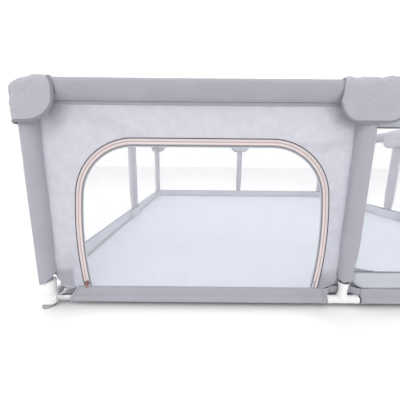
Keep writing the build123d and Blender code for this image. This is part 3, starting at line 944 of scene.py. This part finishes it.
def arch_path(inset, low, up=40, bend=22, across=30):
    """The doorway's outline moved in by inset, from its left foot over to its right foot, as (x, z)."""
    r = SIDE_R - inset
    centre = DOOR_X - DOOR_HALF + SIDE_R
    foot = math.asin((low - SIDE_Z) / r)
    left = []
    for k in range(up + 1):
        a = foot + (SIDE_END - foot) * k / up
        left.append((centre - r * math.cos(a), SIDE_Z + r * math.sin(a)))
    small = CORNER_R - inset
    for k in range(1, bend + 1):
        a = math.pi - SIDE_END + (math.pi / 2 - math.pi + SIDE_END) * k / bend
        left.append((DOOR_X - CORNER_X + small * math.cos(a), CORNER_Z + small * math.sin(a)))
    right = [(2 * DOOR_X - x, z) for x, z in reversed(left)]
    x0, z0 = left[-1]
    flat = [(x0 + (right[0][0] - x0) * k / across, z0) for k in range(1, across)]
    return left + flat + right


def arch_strip(insets, low, profile):
    """Closed section of (share across, y) points swept round the doorway between two insets."""
    a, b = arch_path(insets[0], low), arch_path(insets[1], low)
    rows = []
    for (x0, z0), (x1, z1) in zip(a, b):
        rows.append([Vector((x0 + (x1 - x0) * f, -HALF + y, z0 + (z1 - z0) * f)) for f, y in profile])
    build = Builder()
    build.rod(rows)
    return build


def arch_line(inset, low, y):
    """A line round the doorway, standing y in front of its plane, with the way out at each point."""
    path = [Vector((x, -HALF - y, z)) for x, z in arch_path(inset, low)]
    return path, [Vector((0, -1, 0))] * len(path)


def door_panel():
    """Dense net round the doorway, from the posts and rails in to the zip."""
    low, knee = 0.0640, PANEL_LOW + 0.032
    x0, x1 = -HALF / 2 - PANEL_HALF, -HALF / 2 + PANEL_HALF
    inner = arch_path(0.0006, low)
    lengths = [0.0]
    for p, q in zip(inner, inner[1:]):
        lengths.append(lengths[-1] + math.dist(p, q))

    def outer_corner(x, way):
        """Points of the lower corner's arc, from its foot up."""
        return [(x + way * panel_edge(z), z) for z in (low + (knee - low) * k / 8 for k in range(9))]

    left_arc, right_arc = outer_corner(x0, 1), outer_corner(x1, -1)
    bend_left = next(k for k, p in enumerate(inner) if p[1] > knee)
    top_left = next(k for k, p in enumerate(inner) if p[0] > DOOR_X - CORNER_X - 0.115)
    anchors = ((0, left_arc[0]), (bend_left, left_arc[-1]), (top_left, (x0, PANEL_TOP)),
               (len(inner) - 1 - top_left, (x1, PANEL_TOP)), (len(inner) - 1 - bend_left, right_arc[-1]),
               (len(inner) - 1, right_arc[0]))
    outer = []
    for (k0, p0), (k1, p1) in zip(anchors, anchors[1:]):
        for k in range(k0, k1):
            f = (lengths[k] - lengths[k0]) / (lengths[k1] - lengths[k0])
            if k0 == 0 or k1 == len(inner) - 1:
                arc = left_arc if k0 == 0 else right_arc[::-1]
                at = f * (len(arc) - 1)
                a, b = arc[int(at)], arc[min(int(at) + 1, len(arc) - 1)]
                g = at - int(at)
                outer.append((a[0] + (b[0] - a[0]) * g, a[1] + (b[1] - a[1]) * g))
            else:
                outer.append((p0[0] + (p1[0] - p0[0]) * f, p0[1] + (p1[1] - p0[1]) * f))
    outer.append(right_arc[0])
    rows = []
    across = 16
    for (ix, iz), (ox, oz) in zip(inner, outer):
        row = []
        for k in range(across + 1):
            f = k / across
            x, z = ox + (ix - ox) * f, oz + (iz - oz) * f
            slack = math.sin(math.pi * f)
            fold = 0.0024 * wobble((x, 0.10 * z, 0), 0.020, 5.0) * slack
            fold += 0.0020 * wobble((x, 0.4 * z, 0), 0.10, 8.0) * slack
            row.append(Vector((x, -HALF + fold, z)))
        rows.append(row)
    build = Builder()
    build.grid(rows, flip=True)
    build.flat_map(0, 2)
    cloth_piece = build.piece("door_panel_cloth", "panel")
    settle(cloth_piece, "pen", "panel_fabric", "door_panel")
    round(grid_area(rows), 4)


def door_zip():
    """Tapes, piping, teeth and stitches round the doorway, and the binding on the flap's edge."""
    flat = 0.0005
    strip = ((0, -flat), (0.5, -flat - 0.0001), (1, -flat), (1, flat), (0.5, flat), (0, flat))
    tape = arch_strip((0.0010, 0.0089), PANEL_LOW + 0.001, strip).piece("zip_tape_panel_cloth", "zip_tape")
    settle(tape, "pen", "zip_tape", "zip_tape_panel")
    cord_profile = ((0, -0.0009), (0.3, -0.0017), (0.7, -0.0017), (1, -0.0010), (1, 0.0010), (0, 0.0010))
    edge = arch_strip((-0.0006, 0.0015), PANEL_LOW + 0.001, cord_profile)
    settle(edge.piece("door_edge_piping", "dark_cord"), "pen", "panel_fabric")
    tape = arch_strip((0.0095, 0.0180), TAPE_PARK, strip).piece("zip_tape_flap_cloth", "zip_tape")
    settle(tape, "flap", "zip_tape", "zip_tape_flap")
    band = ((0, -0.0006), (0.04, -0.0013), (0.5, -0.0015), (0.96, -0.0013), (1, -0.0006),
            (1, 0.0006), (0.96, 0.0013), (0.5, 0.0015), (0.04, 0.0013), (0, 0.0006))
    bound = arch_strip((0.0174, 0.0212), FLAP_LOW, band).piece("flap_binding_cloth", "flap_binding")
    settle(bound, "flap", "binding_fabric", "flap_binding")
    edge = arch_strip((0.0209, 0.0240), FLAP_LOW, strip)
    settle(edge.piece("flap_inner_tape", "band"), "flap", "binding_fabric")
    for name, inset, y, mat, body, low in (
        ("zip_stitches_panel", 0.0040, 0.0007, "thread", "pen", PANEL_LOW + 0.002),
        ("flap_binding_stitches", 0.0193, 0.0015, "dark_thread", "flap", FLAP_LOW + 0.001),
    ):
        threads = Builder()
        path, outs = arch_line(inset, low, y)
        stitches(threads, path, outs, rise=0.0004)
        settle(threads.piece(name, mat), body, "zip_tape")
    for name, body, offset, span, low in (("zip_teeth_panel", "pen", 0.0, (0.0084, 0.0097), 0.0845),
                                          ("zip_teeth_flap", "flap", 0.5, (0.0087, 0.0100), 0.0865)):
        zip_teeth(name, body, offset, span, low)


def flap_net():
    """The flap's clear net, inside its binding."""
    rows = []
    low, high = FLAP_LOW, DOOR_TOP - NET_CLEAR
    r, small = SIDE_R - NET_CLEAR, CORNER_R - NET_CLEAR
    for i in range(61):
        z = low + (high - low) * math.sin(math.pi / 2 * i / 60)
        if z < SIDE_Z + r * math.sin(SIDE_END):
            reach = SIDE_R - DOOR_HALF - math.sqrt(r * r - (z - SIDE_Z) ** 2)
        else:
            reach = -CORNER_X - math.sqrt(max(0.0, small * small - (z - CORNER_Z) ** 2))
        row = []
        for j in range(81):
            g = -1 + 2 * j / 80
            x = DOOR_X - reach * g
            y = 0.0022 * wobble((x, 0.5 * z, 0), 0.17, 2.0) + 0.0006 * wobble((x, z, 0), 0.05, 4.0)
            row.append(Vector((x, -HALF + y * (1 - abs(g) ** 4), z)))
        rows.append(row)
    build = Builder()
    build.grid(rows)
    build.flat_map(0, 2)
    net = build.piece("door_flap_net", "net")
    settle(net, "flap", "net_fabric", "door_flap")
    round(grid_area(rows), 4)


def zip_teeth(name, body, offset, span, low):
    """Row of nylon coil teeth along one tape, each a small rounded bar across the join."""
    path, _ = arch_line((span[0] + span[1]) / 2, low, 0.0)
    build = Builder()
    pitch, total = 0.0024, 0.0
    half = (span[1] - span[0]) / 2
    goal = pitch * offset
    for a, b in zip(path, path[1:]):
        step = (b - a).length
        while goal < total + step:
            f = (goal - total) / step
            p = a.lerp(b, f)
            along = (b - a).normalized()
            across = Vector((along.z, 0, -along.x))
            base = len(build.verts)
            for end, size in ((-1, 0.75), (0, 1.0), (1, 0.75)):
                for s, t in ((-1, -1), (1, -1), (1, 1), (-1, 1)):
                    q = p + across * half * end + along * 0.00045 * s * size
                    build.verts.append((q.x, -HALF + 0.0013 * t * size, q.z))
                    build.uvs.append((goal, half * end))
            for k in range(2):
                for c in range(4):
                    i0, i1 = base + 4 * k + c, base + 4 * k + (c + 1) % 4
                    build.faces.append((i0, i1, i1 + 4, i0 + 4))
            build.faces.append((base + 3, base + 2, base + 1, base))
            build.faces.append((base + 8, base + 9, base + 10, base + 11))
            goal += pitch
        total += step
    settle(build.piece(name, "coil"), body, "zip_tape")


# ---------------------------------------------------------------- floor mat

def floor_mat():
    """Padded floor cloth in two halves, joined by a seam across the middle."""
    count = 120
    reach = 0.8832

    def spot(i, j):
        u, v = (-math.cos(math.pi * k / count) * 0.35 + (2 * k / count - 1) * 0.65 for k in (i, j))

        def cut_in(along, across):
            """One way's place, with its edge notched at the middle post and the corners."""
            notch = 0.0165 * math.exp(-(across * reach / 0.055) ** 2)
            notch += 0.0140 * max(0.0, abs(across) - 0.92) / 0.08
            return along * reach - math.copysign(notch * abs(along) ** 30, along)

        return cut_in(u, v), cut_in(v, u)

    build = Builder()
    for top in (True, False):
        rows = []
        for i in range(count + 1):
            row = []
            for j in range(count + 1):
                x, y = spot(i, j)
                edge = reach - max(abs(x), abs(y))
                soft = math.exp(-max(edge, 0) / 0.006)
                if top:
                    z = MAT_TOP - 0.0024 * soft + 0.0011 * wobble((x, y, 0), 0.17, 3.0)
                    z += 0.0006 * wobble((x * 0.5, y * 1.4, 0), 0.06, 6.0)
                    z -= 0.0026 * math.exp(-(y / 0.005) ** 2)
                else:
                    z = MAT_LOW + 0.0024 * soft
                row.append(Vector((x, y, z)))
            rows.append(row)
        build.grid(rows, flip=not top)
    build.flat_map(0, 1)
    wide = count + 1
    low = wide * wide
    rim = [(i, 0) for i in range(count)] + [(count, j) for j in range(count)]
    rim += [(i, count) for i in range(count, 0, -1)] + [(0, j) for j in range(count, 0, -1)]
    for (a, b), (c, d) in zip(rim, rim[1:] + rim[:1]):
        p, q = a * wide + b, c * wide + d
        build.faces.append((p, p + low, q + low, q))
    mat = build.piece("floor_mat_pad", "mat")
    settle(mat, "pen", "mat_fabric", "floor_mat")
    threads = Builder()
    for y in (-0.0075, 0.0075):
        path = [Vector((-0.86 + 1.72 * k / 120, y, MAT_TOP + 0.0003)) for k in range(121)]
        path = [p + Vector((0, 0, 0.0011 * wobble((p.x, p.y, 0), 0.17, 3.0))) for p in path]
        stitches(threads, path, [Vector((0, 0, 1))] * len(path), pitch=0.006, length=0.0042)
    settle(threads.piece("floor_mat_stitches", "thread"), "pen", "mat_fabric")


# ---------------------------------------------------------------- finishes on the rigid pieces

def finish_node(name, mat):
    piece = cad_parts[name]
    piece.data.materials.clear()
    piece.data.materials.append(MATS[mat])


FINISHES = (
    ("bottom_corner_connector", "white_plastic"), ("bottom_tee_connector", "white_plastic"),
    ("top_corner_connectors", "grey_plastic"), ("top_tee_connectors", "grey_plastic"),
    ("suction_foot", "rubber"), ("bottom_rail_tubes", "steel"), ("top_rail_tubes", "steel"),
    ("corner_post_tubes", "steel"), ("mid_post_tubes", "steel"), ("zip_slider", "zip_metal"),
    ("zip_pull", "zip_metal"),
)
place_camera()
set_stage()
for node_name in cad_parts:
    for start, mat in FINISHES:
        if node_name.startswith(start):
            finish_node(node_name, mat)

for quarter, side in enumerate(SIDES):
    rail_covers(side, quarter)
    mid_cap(side, quarter)
    post_sleeve(f"post_sleeve_{side}_middle", (0, -HALF), quarter, 0.0186, 0.0)
    bottom_sleeves(side, quarter)
    corner_binding(side, quarter)
    inner_skirt(side, quarter)
    panel_node = f"net_panels_{side}" if quarter else "net_panel_front_right"
    net_bay(side, quarter, HALF / 2, panel_node, "right")
    if quarter:
        net_bay(side, quarter, -HALF / 2, panel_node, "left")
for quarter, corner in enumerate(CORNERS):
    corner_cap(corner, quarter)
    post_sleeve(f"post_sleeve_{corner}", (-HALF, -HALF), quarter, 0.0242, 0.014)
door_panel()
door_zip()
flap_net()
floor_mat()

size = {"cad": cad_box, "visual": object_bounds()}
{k: [[float(c) for c in corner] for corner in v] for k, v in size.items()}
